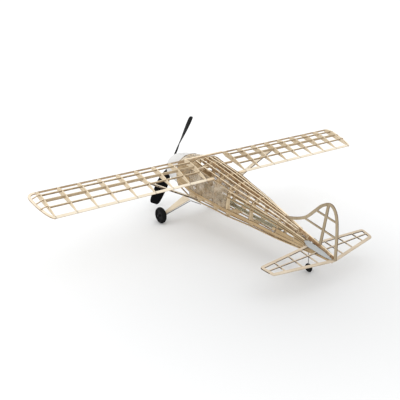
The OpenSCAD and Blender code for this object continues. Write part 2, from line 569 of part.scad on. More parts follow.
module wheel_retainers() on_ground() color("dimgray") both_sides() {
    across([0, WHEEL[1], WHEEL[2]] + [half_track + wheel_w / 2 + 0.25, 0, 0], 0) ring(wire_r, 1.7, 1.3);
    across([0, WHEEL[1], WHEEL[2]] + [half_track - wheel_w / 2 - 1, 0, 0], 0) ring(wire_r, 1.7, 0.75);
}
module wheel(r, w, bore) rotate([0, 90, 0]) rotate_extrude($fn = 96) {
    translate([bore, -w / 2 + 0.1]) square([w * 0.32, w - 0.2]);
    translate([bore, -w * 0.25]) square([r - w / 2 - bore, w * 0.5]);
    translate([r - w / 2, 0]) circle(r = w / 2);
}
module left_wheel() on_ground() color([0.12, 0.12, 0.12])
    translate(WHEEL) wheel(wheel_r, wheel_w, wire_r + running_gap);
module right_wheel() on_ground() color([0.12, 0.12, 0.12])
    mirror([1, 0, 0]) translate(WHEEL) wheel(wheel_r, wheel_w, wire_r + running_gap);

tail_wheel_y = 190.9;
tail_wheel_w = 2.6;
tail_wire_r = 0.45;
TAIL_WHEEL = [0, tail_wheel_y, (tail_wheel_r - lift + tail_wheel_y * sin(stance_deg)) / cos(stance_deg)];
module tail_wheel() on_ground() color([0.12, 0.12, 0.12])
    translate(TAIL_WHEEL) wheel(tail_wheel_r, tail_wheel_w, tail_wire_r + running_gap);
function under_keel(y) = [0, y, at(y, 5) - tail_wire_r - 0.03];
module tail_wheel_wire() on_ground() color("gray") {
    side = tail_wheel_w / 2 + 1;
    wire([under_keel(174), under_keel(184), TAIL_WHEEL + [side, 0, 8], TAIL_WHEEL + [side, 0, 0],
        TAIL_WHEEL - [side + 0.6, 0, 0]], tail_wire_r);
    translate(TAIL_WHEEL - [side + 0.5, 0, 0]) rotate([0, 90, 0]) cylinder(h = 0.8, r = 1);
}

// ---------------------------------------------------------------- tail surfaces
STAB_Z = -18.1;
STAB = [[-8, 182.2], [0, 183], [60, 188.2], [97.2, 191.3], [101.2, 192.6], [102.2, 196.2],
    [99.4, 209.6], [97.6, 213], [94, 214.4], [60, 220], [0, 230], [-8, 231.3]];
STAB_INSIDE = [[-1, 187.1], [0, 187.2], [98, 195.6], [95, 210], [0, 225.7], [-1, 225.8]];
STAB_SPAR_Y = 202;
STAB_RIBS = [24.5, 50, 77.5];
function offset_in(p, w) = [for (i = [0 : len(p) - 1]) p[i] + w * normal(p, i)];
stab_path = smooth(STAB, 6);
module right_half() translate([0, 100]) square([200, 200]);
module stabiliser_outline() on_ground() color("tan") translate([0, 0, STAB_Z]) linear_extrude(sheet)
    difference() {
        both_sides() intersection() {
            polygon(stab_path);
            right_half();
        }
        both_sides() polygon(STAB_INSIDE);
    }
module stabiliser_ribs() on_ground() color("tan") translate([0, 0, STAB_Z]) linear_extrude(sheet)
    both_sides() intersection() {
        polygon([for (p = STAB_INSIDE) p + [0, p[1] < STAB_SPAR_Y ? touch : -touch]]);
        right_half();
        union() {
            translate([-1, STAB_SPAR_Y]) square([97.5, strip]);
            for (x = STAB_RIBS) translate([x - strip / 2, 170]) square([strip, 70]);
        }
    }

FIN = [[126, -0.2], [132, 0.4], [150, 8.4], [165, 19], [177.5, 36], [187.5, 49], [201, 56],
    [212.5, 49], [221.5, 28], [231.4, -15.4]];
FIN_RIBS = [13, 34];
fin_path = smooth(FIN, 6);
module fin_sheet() on_ground() color("tan") translate([-sheet / 2, 0, 0]) rotate([90, 0, 90])
    linear_extrude(sheet) difference() {
        children();
        polygon(concat([for (y = run(100, 226.4)) [y, crown_z(min(y, 226)) + touch]],
            [[226.4, -40], [100, -40]]));
    }
module fin_outline() fin_sheet() polygon(band(fin_path, -outline_w));
module fin_frame() fin_sheet() intersection() {
    polygon(concat(offset_in(fin_path, -outline_w - touch), [[226.4, -15], [126, -3]]));
    union() {
        polygon([[195, 60], [199, 60], [202.4, -20], [198.4, -20]]);
        for (z = FIN_RIBS) translate([100, z]) square([140, deep_strip]);
    }
}

FILLET_START = 178;
FILLET_END = 226;
function fillet_grid(t) = [for (i = [0 : 8]) let (u = i / 8,
        size = min(1, 0.5 + 6 * u, 0.3 + 2.6 * (1 - u)), h = (7.6 - 3.6 * u) * size, w = 3.6 * size,
        edge = FILLET_START + (FILLET_END - FILLET_START) * u)
    [for (j = [0 : 5]) let (v = j / 5, y = min(FILLET_END, edge + 6 * v * (1 - u)),
        x0 = max(side_point(y, 0.25)[0], side_point(y, 0)[0]) + 0.4) [x0 + w * pow(v, 1.4) + t, y,
            STAB_Z + sheet + 0.1 + h * pow(1 - v, 1.4) + t * v]]];
module tail_fillets() on_ground() color("whitesmoke") both_sides()
    sheet_between(fillet_grid(0), fillet_grid(0.8));

firewall();
windscreen_former();
cabin_former_front();
cabin_former_rear();
cabin_bulkhead();
tail_former_1();
tail_former_2();
tail_former_3();
tail_former_4();
tail_post();
top_keel();
bottom_keel();
left_upper_longeron();
right_upper_longeron();
left_lower_longeron();
right_lower_longeron();
top_stringers();
belly_stringers();
left_side_stringers();
right_side_stringers();
windscreen_frame();
left_windows();
right_windows();
windscreen();
cowling();
nose_block();
thrust_bearing();
rear_peg();
peg_plates();
tail_fillets();
centre_section();
left_wing_ribs();
right_wing_ribs();
left_leading_edge();
right_leading_edge();
left_trailing_edge();
right_trailing_edge();
left_main_spar();
right_main_spar();
turbulator_spars();
left_wing_tip();
right_wing_tip();
left_wing_strut();
right_wing_strut();
left_gear_leg();
right_gear_leg();
axle_wires();
wheel_retainers();
stabiliser_outline();
stabiliser_ribs();
fin_outline();
fin_frame();
tail_wheel_wire();
tail_wheel();
left_wheel();
right_wheel();
propeller();
prop_shaft();
thrust_washer();
rubber_motor();
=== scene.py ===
"""Looks of the rubber-powered model plane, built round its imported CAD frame. Metres throughout."""

import json
import math
import random

import bmesh
import bpy
import numpy as np
from mathutils import Matrix, Vector


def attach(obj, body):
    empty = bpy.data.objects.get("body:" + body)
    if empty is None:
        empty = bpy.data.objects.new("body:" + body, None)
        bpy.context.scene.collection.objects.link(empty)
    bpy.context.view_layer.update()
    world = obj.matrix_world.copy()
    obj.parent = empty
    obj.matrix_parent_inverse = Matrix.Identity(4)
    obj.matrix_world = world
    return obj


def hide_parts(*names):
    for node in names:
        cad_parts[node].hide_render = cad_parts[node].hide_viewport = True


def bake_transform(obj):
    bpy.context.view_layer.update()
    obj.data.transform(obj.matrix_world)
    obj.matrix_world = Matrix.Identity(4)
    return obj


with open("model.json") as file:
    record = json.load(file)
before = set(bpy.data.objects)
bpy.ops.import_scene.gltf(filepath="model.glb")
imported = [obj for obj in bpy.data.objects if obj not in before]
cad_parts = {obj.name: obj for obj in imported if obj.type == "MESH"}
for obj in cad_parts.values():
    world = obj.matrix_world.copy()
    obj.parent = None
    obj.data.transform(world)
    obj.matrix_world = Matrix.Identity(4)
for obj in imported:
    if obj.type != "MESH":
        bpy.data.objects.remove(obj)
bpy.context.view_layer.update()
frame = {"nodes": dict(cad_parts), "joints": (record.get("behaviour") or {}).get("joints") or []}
NODES = frame["nodes"]
MM = 0.001

# The aircraft's own datum: its axes are tilted nose-up from the row frame's. Lengths in mm are
# measured from the wing's trailing edge on the centreline: x to port, y aft, z up.
SPIN = next(j for j in frame["joints"] if j["name"] == "propeller_spin")
HUB_DATUM = Vector((0, -143.6, -38.4)) * MM
AFT = -Vector(SPIN["axis"]).normalized()
PORT = Vector((1, 0, 0))
DATUM = Matrix((PORT, AFT, PORT.cross(AFT))).transposed().to_4x4()
DATUM.translation = Vector(SPIN["pos_m"]) - DATUM.to_3x3() @ HUB_DATUM
STANCE = math.atan2(-AFT.z, AFT.y)
# Places that the looks need: the wing's ribs, and the front of the elevator
ROOT_RIB_X, RIB_PITCH = 40, 31.3
ELEVATOR_Y = 208


def at(x, y, z):
    """A datum point in millimetres, in the row frame."""
    return DATUM @ (Vector((x, y, z)) * MM)


def srgb(r, g, b):
    """Linear colour of an 8-bit sRGB one."""
    shares = (r / 255, g / 255, b / 255)
    return tuple(c / 12.92 if c <= 0.04045 else ((c + 0.055) / 1.055) ** 2.4 for c in shares)


# ------------------------------------------------------------------ camera, floor and light
CAMERA_PLACE = (0.6007, 0.6676, 0.3940)
CAMERA_AIM = Vector((-0.57423, -0.74555, -0.33826))
CAMERA_LENS = 55.6
CAMERA_SHIFT = 0.0125
# Painted shade on the paper: a pool of light grey behind the port wing that goes to white further
# out
FLOOR_SIDE = 6.0
SHADE_POOL, SHADE_POOL_REACH = (0.05, 0.18, 0), 1.5
FLOOR_SHADE_TONES = ((0, 0.65), (0.33, 0.87), (1, 0.97))
COOL_WHITE = (0.994, 1, 1.004)
# Studio lights: place, size, watts
LIGHT_AIM = (0, 0, 0.08)
LIGHTS = {"key": ((-0.4, 0.7, 1.9), 1.9, 8), "fill": ((1.4, 0.3, 0.9), 1.4, 4)}
STUDIO_STRENGTH = 1.09


def make_camera():
    data = bpy.data.cameras.new("camera")
    data.lens = CAMERA_LENS
    data.shift_x = CAMERA_SHIFT
    data.shift_y = -CAMERA_SHIFT
    data.clip_end = 20
    camera = bpy.data.objects.new("camera", data)
    bpy.context.scene.collection.objects.link(camera)
    camera.location = CAMERA_PLACE
    camera.rotation_euler = CAMERA_AIM.to_track_quat("-Z", "Y").to_euler()
    bpy.context.scene.camera = camera


def new_object(name, mesh_or_curve):
    thing = bpy.data.objects.new(name, mesh_or_curve)
    bpy.context.scene.collection.objects.link(thing)
    return thing


def make_floor():
    """A wide sheet of pale paper, with a pool of painted shade under the plane."""
    mesh = bpy.data.meshes.new("floor")
    side = FLOOR_SIDE
    mesh.from_pydata(
        [(-side, -side, 0), (side, -side, 0), (side, side, 0), (-side, side, 0)], [], [(0, 1, 2, 3)]
    )
    floor = new_object("floor", mesh)
    s = Shader("floor_with_painted_shade")
    distance = s.nodes.new("ShaderNodeVectorMath")
    distance.operation = "DISTANCE"
    distance.inputs[1].default_value = SHADE_POOL
    s.links.new(s.world_place, distance.inputs[0])
    away = s.math("MULTIPLY", distance.outputs["Value"], 1 / SHADE_POOL_REACH)
    uneven = s.math("ADD", s.math("MULTIPLY", s.noise(2, 2), 0.02), -0.01)
    stops = ((place, tuple(grey * c for c in COOL_WHITE)) for place, grey in FLOOR_SHADE_TONES)
    # Painted shade: the paper is grey at the pool and goes to white further out
    tone = s.ramp(s.math("ADD", away, uneven), *stops)
    s.set(Base_Color=tone, Roughness=0.9, Specular_IOR_Level=0.1)
    mesh.materials.append(s.material)


def area_light(name, place, size, watts):
    data = bpy.data.lights.new(name, "AREA")
    data.shape = "DISK"
    data.size = size
    data.energy = watts
    light = new_object(name, data)
    light.location = place
    aim = Vector(LIGHT_AIM) - Vector(place)
    light.rotation_euler = aim.to_track_quat("-Z", "Y").to_euler()


def make_light():
    scene = bpy.context.scene
    scene.view_settings.view_transform = "Standard"
    world = bpy.data.worlds.new("studio")
    world.use_nodes = True
    background = world.node_tree.nodes["Background"]
    background.inputs["Color"].default_value = (1, 1, 1, 1)
    background.inputs["Strength"].default_value = STUDIO_STRENGTH
    scene.world = world
    for name, (place, size, watts) in LIGHTS.items():
        area_light(name, place, size, watts)


# ------------------------------------------------------------------ materials
def blank_material(name):
    material = bpy.data.materials.new(name)
    material.use_nodes = True
    nodes = material.node_tree.nodes
    for node in list(nodes):
        if node.type != "OUTPUT_MATERIAL":
            nodes.remove(node)
    return material, nodes, material.node_tree.links


class Shader:
    """Short calls for building one material's nodes."""

    def __init__(self, name):
        self.material, self.nodes, self.links = blank_material(name)
        self.principled = self.nodes.new("ShaderNodeBsdfPrincipled")
        self.links.new(self.principled.outputs[0], self.nodes["Material Output"].inputs[0])
        coordinates = self.nodes.new("ShaderNodeTexCoord")
        self.world_place = self.nodes.new("ShaderNodeNewGeometry").outputs["Position"]
        self.object_normal = coordinates.outputs["Normal"]
        turn = self.nodes.new("ShaderNodeMapping")
        turn.inputs["Rotation"].default_value = (STANCE, 0, 0)
        self.links.new(coordinates.outputs["Object"], turn.inputs["Vector"])
        self.place = turn.outputs[0]

    def set(self, **values):
        for name, value in values.items():
            socket = self.principled.inputs[name.replace("_", " ")]
            if hasattr(value, "links"):
                self.links.new(value, socket)
            else:
                socket.default_value = value

    def scaled(self, scale):
        node = self.nodes.new("ShaderNodeMapping")
        node.inputs["Scale"].default_value = scale
        self.links.new(self.place, node.inputs["Vector"])
        return node.outputs[0]

    def noise(self, scale, detail=3, roughness=0.5, vector=None):
        node = self.nodes.new("ShaderNodeTexNoise")
        node.inputs["Scale"].default_value = scale
        node.inputs["Detail"].default_value = detail
        node.inputs["Roughness"].default_value = roughness
        self.links.new(vector or self.place, node.inputs["Vector"])
        return node.outputs["Fac"]

    def ramp(self, value, *stops):
        node = self.nodes.new("ShaderNodeValToRGB")
        elements = node.color_ramp.elements
        while len(elements) < len(stops):
            elements.new(0.5)
        for element, (position, color) in zip(elements, stops):
            element.position = position
            element.color = (*color, 1)
        self.links.new(value, node.inputs[0])
        return node.outputs[0]

    def mix(self, factor, a, b, blend="MIX"):
        node = self.nodes.new("ShaderNodeMix")
        node.data_type = "RGBA"
        node.blend_type = blend
        for socket, value in ((node.inputs[0], factor), (node.inputs[6], a), (node.inputs[7], b)):
            if hasattr(value, "links"):
                self.links.new(value, socket)
            elif isinstance(value, (int, float)):
                socket.default_value = value
            else:
                socket.default_value = (*value, 1)
        return node.outputs[2]

    def math(self, operation, a, b=0.0):
        node = self.nodes.new("ShaderNodeMath")
        node.operation = operation
        for socket, value in ((node.inputs[0], a), (node.inputs[1], b)):
            if hasattr(value, "links"):
                self.links.new(value, socket)
            else:
                socket.default_value = value
        return node.outputs[0]

    def bump(self, height, distance, strength=0.5):
        node = self.nodes.new("ShaderNodeBump")
        node.inputs["Strength"].default_value = strength
        node.inputs["Distance"].default_value = distance
        self.links.new(height, node.inputs["Height"])
        self.links.new(node.outputs[0], self.principled.inputs["Normal"])

    def facing(self, axis):
        """How squarely the surface faces along an axis of the datum, 0 to 1."""
        direction = DATUM.to_3x3() @ Vector([letter == axis for letter in "xyz"])
        node = self.nodes.new("ShaderNodeVectorMath")
        node.operation = "DOT_PRODUCT"
        node.inputs[1].default_value = direction
        self.links.new(self.object_normal, node.inputs[0])
        return self.math("ABSOLUTE", node.outputs["Value"])

    def datum_length(self, axis):
        """Position along an axis of the datum, in millimetres."""
        split = self.nodes.new("ShaderNodeSeparateXYZ")
        self.links.new(self.place, split.inputs[0])
        index = "xyz".index(axis)
        origin = (DATUM.to_3x3().inverted() @ DATUM.translation)[index]
        return self.math("MULTIPLY", self.math("SUBTRACT", split.outputs[index], origin), 1 / MM)

    def near_ribs(self, reach):
        """1 within reach of a wing rib, 0 elsewhere."""
        from_root = self.math("SUBTRACT", self.math("ABSOLUTE", self.datum_length("x")), ROOT_RIB_X)
        away = self.math("PINGPONG", from_root, RIB_PITCH / 2)
        return self.ramp(self.math("DIVIDE", away, reach), (0.5, (1, 1, 1)), (1, (0, 0, 0)))


# How much finer a wood's pattern is across its grain than along it
GRAIN_ALONG = {"x": (18, 700, 700), "y": (700, 18, 700), "z": (700, 700, 18)}
MATERIALS = {}


def balsa(name, light, dark, grain, sheet_axis=None, burn_and_shade=srgb(112, 78, 44), burn_and_shade_strength=0.9,
          shaded_ahead_of=None, joints=0.0):
    """Balsa with its grain along one datum axis.

    Faces that turn away from the sheet's axis are scorched as the laser left them; when limited to
    ahead of a station, the darkening is painted shade on the outline's upright faces.
    Joints is the strength of the marks that glue and the laser left at the wing ribs.
    """
    s = Shader(name)
    fibres = s.noise(1, 4, 0.6, s.scaled(GRAIN_ALONG[grain]))
    clouds = s.noise(38, 2)
    boards = s.noise(9, 1)
    streaks = s.ramp(fibres, (0.3, dark), (0.62, light))
    tone = s.mix(0.4, streaks, s.ramp(clouds, (0.35, dark), (0.7, light)))
    tone = s.mix(0.35, tone, s.ramp(boards, (0.4, dark), (0.6, light)))
    if sheet_axis:
        burnt_and_shaded_faces = s.ramp(s.facing(sheet_axis), (0.35, (1, 1, 1)), (0.6, (0, 0, 0)))
        uneven = s.ramp(s.noise(160, 3), (0.3, (0.5 * burn_and_shade_strength,) * 3), (0.6, (burn_and_shade_strength,) * 3))
        burnt_and_shaded_faces = s.mix(1.0, burnt_and_shaded_faces, uneven, "MULTIPLY")
        # Painted shade: ahead of the station only, the upright faces are darkened
        if shaded_ahead_of:
            ahead = s.math("LESS_THAN", s.datum_length("y"), shaded_ahead_of)
            burnt_and_shaded_faces = s.mix(1.0, burnt_and_shaded_faces, ahead, "MULTIPLY")
        tone = s.mix(burnt_and_shaded_faces, tone, burn_and_shade)
    if joints:
        tone = s.mix(s.math("MULTIPLY", s.near_ribs(1.5), joints), tone, SCORCH_DARK)
    s.set(Base_Color=tone, Roughness=0.78, Specular_IOR_Level=0.15)
    s.bump(fibres, 0.0001, 0.35)
    MATERIALS[name] = s.material


def plastic(name, color, roughness, wobble=0.25, specular=0.5):
    """Moulded plastic or rubber, a little uneven in tone and gloss."""
    s = Shader(name)
    broad = s.noise(28, 2)
    shade = tuple(0.9 * c for c in color)
    s.set(
        Base_Color=s.ramp(broad, (0.3, shade), (0.7, color)),
        Roughness=s.math("ADD", s.math("MULTIPLY", s.noise(900, 2), 0.12), roughness - 0.06),
        Specular_IOR_Level=specular,
    )
    s.bump(s.noise(60, 3), 0.0004, wobble)
    MATERIALS[name] = s.material


def metal(name, color, roughness):
    """Drawn metal, with fine scratches along the fuselage."""
    s = Shader(name)
    scratches = s.noise(1, 3, 0.6, s.scaled((2500, 120, 2500)))
    dull = tuple(0.55 * c for c in color)
    s.set(
        Base_Color=s.mix(0.25, color, s.ramp(scratches, (0.3, dull), (0.7, color))),
        Metallic=0.95,
        Roughness=s.math("ADD", s.math("MULTIPLY", scratches, 0.2), roughness - 0.1),
    )
    s.bump(scratches, 0.00003, 0.3)
    MATERIALS[name] = s.material


CREAM, STRAW = srgb(236, 226, 208), srgb(212, 196, 168)
TAN, BROWN = srgb(240, 223, 192), srgb(202, 176, 138)
SCORCH, SCORCH_DARK = srgb(140, 104, 66), srgb(84, 58, 34)


def make_materials():
    balsa("balsa_span", srgb(234, 219, 193), srgb(198, 176, 144), "x", "z", SCORCH, 0.6)
    balsa("balsa_trailing", srgb(232, 222, 204), srgb(204, 190, 166), "x", "z", SCORCH, 0.6,
          joints=0.35)
    balsa("balsa_leading", srgb(220, 204, 176), srgb(180, 158, 126), "x", "z", SCORCH, 0.5,
          joints=0.7)
    balsa("balsa_turbulator", srgb(222, 207, 180), srgb(184, 160, 124), "x", "z",
          srgb(104, 78, 50), 0.8, joints=0.5)
    balsa("balsa_strut", CREAM, STRAW, "x", "z", srgb(72, 50, 32), 1.0)
    balsa("balsa_stringer", srgb(248, 236, 212), srgb(220, 198, 164), "y", "z",
          srgb(124, 94, 60), 0.95)
    balsa("balsa_fore_aft", srgb(222, 202, 167), srgb(180, 152, 112), "y", "z", SCORCH)
    # Lower longerons: a darker copy of the longeron balsa, painted shade for their shaded place low
    # on the sides
    balsa("balsa_lower_shaded", srgb(194, 170, 134), srgb(148, 120, 84), "y", "x", SCORCH_DARK, 0.9)
    balsa("balsa_longeron", srgb(222, 205, 176), srgb(182, 158, 124), "y", "x",
          srgb(104, 76, 46), 0.9)
    # Side stringers: a darker copy of the longeron balsa, painted shade for the shaded fuselage
    # sides
    balsa("balsa_side_shaded", srgb(186, 163, 127), srgb(134, 107, 74), "y", "x",
          srgb(86, 62, 36), 0.9)
    balsa("balsa_rib", srgb(228, 214, 190), srgb(196, 176, 144), "y")
    balsa("balsa_spar_sheet", srgb(210, 194, 166), srgb(166, 146, 116), "x", "z",
          srgb(134, 108, 80), 0.5)
    balsa("balsa_former", TAN, BROWN, "z", "y", SCORCH_DARK)
    balsa("balsa_keel", TAN, BROWN, "y", "z", SCORCH)
    balsa("balsa_leg", srgb(226, 214, 194), STRAW, "x")
    balsa("balsa_tip", CREAM, STRAW, "y", "z", SCORCH)
    # The stabiliser's upright faces ahead of the elevator are painted dark: painted shade
    balsa("laminated_flat", srgb(205, 191, 171), srgb(160, 143, 119), "x", "z",
          srgb(64, 46, 32), 1.0, shaded_ahead_of=ELEVATOR_Y)
    balsa("laminated_upright", srgb(176, 161, 136), srgb(128, 112, 88), "z", "x",
          srgb(88, 68, 46))
    balsa("balsa_block", CREAM, STRAW, "y")
    balsa("plywood", srgb(204, 182, 146), srgb(162, 134, 96), "z")
    plastic("cowl_white", srgb(216, 215, 213), 0.42)
    # The tail fillets are white mouldings; their grey tone is painted shade
    plastic("fairing_shaded_grey", srgb(168, 171, 171), 0.45)
    plastic("prop_black", (0.0035, 0.0035, 0.004), 0.6, 0.1, specular=0.06)
    plastic("tyre_black", (0.0045, 0.0045, 0.005), 0.6, 0.15, specular=0.1)
    plastic("hub_black", (0.0055, 0.0055, 0.006), 0.5, 0.15, specular=0.15)
    plastic("nylon", srgb(236, 232, 220), 0.4)
    metal("wire_steel", (0.15, 0.15, 0.155), 0.4)
    metal("tube_aluminium", (0.82, 0.83, 0.84), 0.3)
    metal("washer_brass", (0.78, 0.58, 0.28), 0.3)
    pane("milky_sheet", srgb(136, 114, 84), srgb(208, 194, 172), 0.3, 0.74)
    pane("clear_sheet", srgb(206, 192, 168), srgb(236, 228, 212), 0.12, 0.4)
    make_rubber_material()


def pane(name, dull, bright, alpha_low, alpha_high):
    """Thin milky sheet, scuffed in patches and a little cockled."""
    s = Shader(name)
    scuffs = s.noise(55, 4, 0.6)
    fine = s.noise(260, 3, 0.6)
    haze = s.math("ADD", s.math("MULTIPLY", scuffs, 0.75), s.math("MULTIPLY", fine, 0.25))
    s.set(
        Base_Color=s.ramp(scuffs, (0.34, dull), (0.66, bright)),
        Roughness=s.math("ADD", s.math("MULTIPLY", fine, 0.2), 0.15),
        Alpha=s.ramp(haze, (0.32, (alpha_low,) * 3), (0.68, (alpha_high,) * 3)),
    )
    s.bump(s.noise(48, 3, 0.6), 0.0016, 0.6)
    MATERIALS[name] = s.material


def make_rubber_material():
    s = Shader("motor_rubber")
    bands = s.noise(1, 2, 0.5, s.scaled((900, 14, 900)))
    s.set(
        Base_Color=s.ramp(bands, (0.35, srgb(152, 146, 120)), (0.65, srgb(204, 197, 172))),
        Roughness=0.55,
    )
    s.bump(s.noise(1400, 2), 0.0001, 0.3)
    MATERIALS["motor_rubber"] = s.material


NODE_MATERIALS = {
    "balsa_former": (
        "firewall windscreen_former cabin_former_front cabin_former_rear cabin_bulkhead "
        "tail_former_1 tail_former_2 tail_former_3 tail_former_4 tail_post"
    ),
    "balsa_keel": "top_keel bottom_keel",
    "balsa_stringer": "top_stringers windscreen_frame",
    "balsa_fore_aft": "belly_stringers",
    "balsa_lower_shaded": "left_lower_longeron right_lower_longeron",
    "balsa_longeron": "left_upper_longeron right_upper_longeron",
    "balsa_side_shaded": "left_side_stringers right_side_stringers",
    "milky_sheet": "left_windows right_windows",
    "clear_sheet": "windscreen",
    "cowl_white": "cowling",
    "fairing_shaded_grey": "tail_fillets",
    "balsa_block": "nose_block",
    "nylon": "thrust_bearing",
    "tube_aluminium": "rear_peg",
    "plywood": "peg_plates",
    "balsa_span": "centre_section",
    "balsa_leading": "left_leading_edge right_leading_edge",
    "balsa_trailing": "left_trailing_edge right_trailing_edge",
    "balsa_turbulator": "turbulator_spars",
    "balsa_strut": "left_wing_strut right_wing_strut",
    "balsa_spar_sheet": "left_main_spar right_main_spar",
    "balsa_rib": "left_wing_ribs right_wing_ribs",
    "balsa_tip": "left_wing_tip right_wing_tip",
    "balsa_leg": "left_gear_leg right_gear_leg",
    "wire_steel": "axle_wires tail_wheel_wire prop_shaft",
    "hub_black": "wheel_retainers",
    "laminated_flat": "stabiliser_outline stabiliser_ribs",
    "laminated_upright": "fin_outline fin_frame",
    "tyre_black": "left_wheel right_wheel tail_wheel",
    "prop_black": "propeller",
    "washer_brass": "thrust_washer",
    "motor_rubber": "rubber_motor",
}


def dress_nodes():
    for material, names in NODE_MATERIALS.items():
        for name in names.split():
            slots = NODES[name].data.materials
            slots.clear()
            slots.append(MATERIALS[material])


# ------------------------------------------------------------------ shapes
def spline(rows, steps):
    """A smooth curve through listed rows of numbers, with steps points for each stretch."""
    rows = np.array(rows, float)
    fine = []
    for i in range(len(rows) - 1):
        a, b, c, d = (rows[min(max(i + k, 0), len(rows) - 1)] for k in (-1, 0, 1, 2))
        for t in np.arange(steps) / steps:
            fine.append(
                b + 0.5 * t * (c - a + t * (2 * a - 5 * b + 4 * c - d + t * (3 * (b - c) + d - a)))
            )
    return np.array([*fine, rows[-1]])


def skin(rings, closed=False):
    """Faces over equal rings of points; closed joins the last ring to the first."""
    count, around = len(rings), len(rings[0])
    faces = []
    for k in range(count if closed else count - 1):
        for i in range(around):
            a, b = k * around, (k + 1) % count * around
            j = (i + 1) % around
            faces.append((a + i, b + i, b + j, a + j))
    if not closed:
        faces.append(tuple(range(around)))
        faces.append(tuple((count - 1) * around + i for i in reversed(range(around))))
    return [p for ring in rings for p in ring], faces


def piece(name, parts, material, body, sharp, replaces=()):
    """One object from parts, each (points in datum millimetres, faces), riding on a body.

    Edges that turn by less than sharp degrees are shaded smooth.
    """
    mesh = bpy.data.meshes.new(name)
    points, faces = [], []
    for part_points, part_faces in parts:
        start = len(points)
        points += [at(*p) for p in part_points]
        faces += [tuple(start + i for i in face) for face in part_faces]
    mesh.from_pydata(points, [], faces)
    work = bmesh.new()
    work.from_mesh(mesh)
    bmesh.ops.recalc_face_normals(work, faces=work.faces)
    for face in work.faces:
        face.smooth = True
    for edge in work.edges:
        edge.smooth = edge.calc_face_angle(0) < math.radians(sharp)
    work.to_mesh(mesh)
    work.free()
    mesh.materials.append(MATERIALS[material])
    thing = new_object(name, mesh)
    if body:
        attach(thing, body)
    if replaces:
        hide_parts(*replaces)
    return thing


def lathe(profile, centre, axis, around=64):
    """A turned solid: profile is (distance along axis, radius) rows of a closed outline."""
    axis = Vector(axis).normalized()
    side = axis.orthogonal().normalized()
    up = axis.cross(side)
    rings = []
    for step in range(around):
        turn = 2 * math.pi * step / around
        out = side * math.cos(turn) + up * math.sin(turn)
        rings.append([Vector(centre) + axis * along + out * radius for along, radius in profile])
    return skin(rings, closed=True)


def rounded_path(path, bend):
    """A bent wire's centreline: straight runs with a bend of about that radius at each corner."""
    path = [Vector(p) for p in path]
    line = [path[0]]
    for a, b, c in zip(path, path[1:], path[2:]):
        reach = min(bend, 0.45 * (b - a).length, 0.45 * (c - b).length)
        start, end = b + (a - b).normalized() * reach, b + (c - b).normalized() * reach
        for t in np.linspace(0, 1, 8):
            line.append(start * (1 - t) ** 2 + b * 2 * t * (1 - t) + end * t * t)
    return [*line, path[-1]]


def tube(line, radius, around=14):
    """A round bar along a line of points."""
    line = [Vector(p) for p in line]
    side = (line[1] - line[0]).orthogonal().normalized()
    rings = []
    for i, p in enumerate(line):
        along = (line[min(i + 1, len(line) - 1)] - line[max(i - 1, 0)]).normalized()
        side = (side - along * side.dot(along)).normalized()
        up = along.cross(side)
        turns = [2 * math.pi * k / around for k in range(around)]
        rings.append([p + radius * (side * math.cos(t) + up * math.sin(t)) for t in turns])
    return skin(rings)


# ------------------------------------------------------------------ nose
THRUST_Z = -38.4
# Rings of the cowl: distance aft, half width, top, bottom, squareness
COWL = [
    (-96.84, 24.4, -3.8, -61.4, 2.8), (-104, 24.9, -6.4, -61.4, 2.7), (-112, 25, -9.3, -61.2, 2.5),
    (-119, 24.6, -12, -60.8, 2.4), (-125, 23.4, -14.8, -60.2, 2.2), (-130, 21.4, -17.4, -59, 2.1),
    (-133.6, 18.8, -20, -56.8, 2), (-135.4, 16.4, -22.2, -54.6, 2), (-136, 13.6, -24.8, -52, 2),
]
COWL_T = 0.7
COWL_STEP, COWL_STEP_Y = 0.28, -111


def cowl_ring(row, inset, back, around=96):
    """A rounded-square ring of the cowl, inset from its outside and moved back."""
    y, half, top, bottom, square = row
    middle, half_height = (top + bottom) / 2, (top - bottom) / 2 - inset
    ring = []
    for k in range(around):
        turn = 2 * math.pi * (k + 0.5) / around
        c, s = math.cos(turn), math.sin(turn)
        across = math.copysign(abs(c) ** (2 / square), c)
        up = math.copysign(abs(s) ** (2 / square), s)
        ring.append(((half - inset) * across, y + back, middle + half_height * up))
    return ring


def make_cowl():
    """Moulded sheet: a bowl and a wrap, with the shallow step where the two are glued."""
    rows = spline(COWL, 5)
    last = len(rows) - 1
    outside = [cowl_ring(row, COWL_STEP if row[0] > COWL_STEP_Y else 0, 0) for row in rows]
    inside = [
        cowl_ring(row, 0 if i == last else COWL_T, COWL_T * i / len(rows))
        for i, row in enumerate(rows)
    ]
    piece("cowl_shell", [skin(outside + inside[::-1], closed=True)], "cowl_white", "airframe", 50,
          ["cowling"])


# Blade rows: radius, chord, thickness
BLADE = [
    (2, 4.2, 3.2), (8, 4.6, 3), (14, 6.3, 2.6), (20, 9.7, 2.3), (28, 15.5, 2), (38, 19.5, 1.8),
    (50, 21, 1.6), (64, 20.6, 1.4), (74, 19.5, 1.2), (80, 17.6, 1.1), (83, 14.7, 1),
    (84.5, 10.5, 0.7),
]
BLADE_CAMBER = 0.05
BLADE_STEEPEST = math.radians(68)
PROP_PITCH = 226
PROP_REST = math.radians(21.2)
HUB_FRONT, HUB_BACK, HUB_R = -148.1, -139.1, 4.6


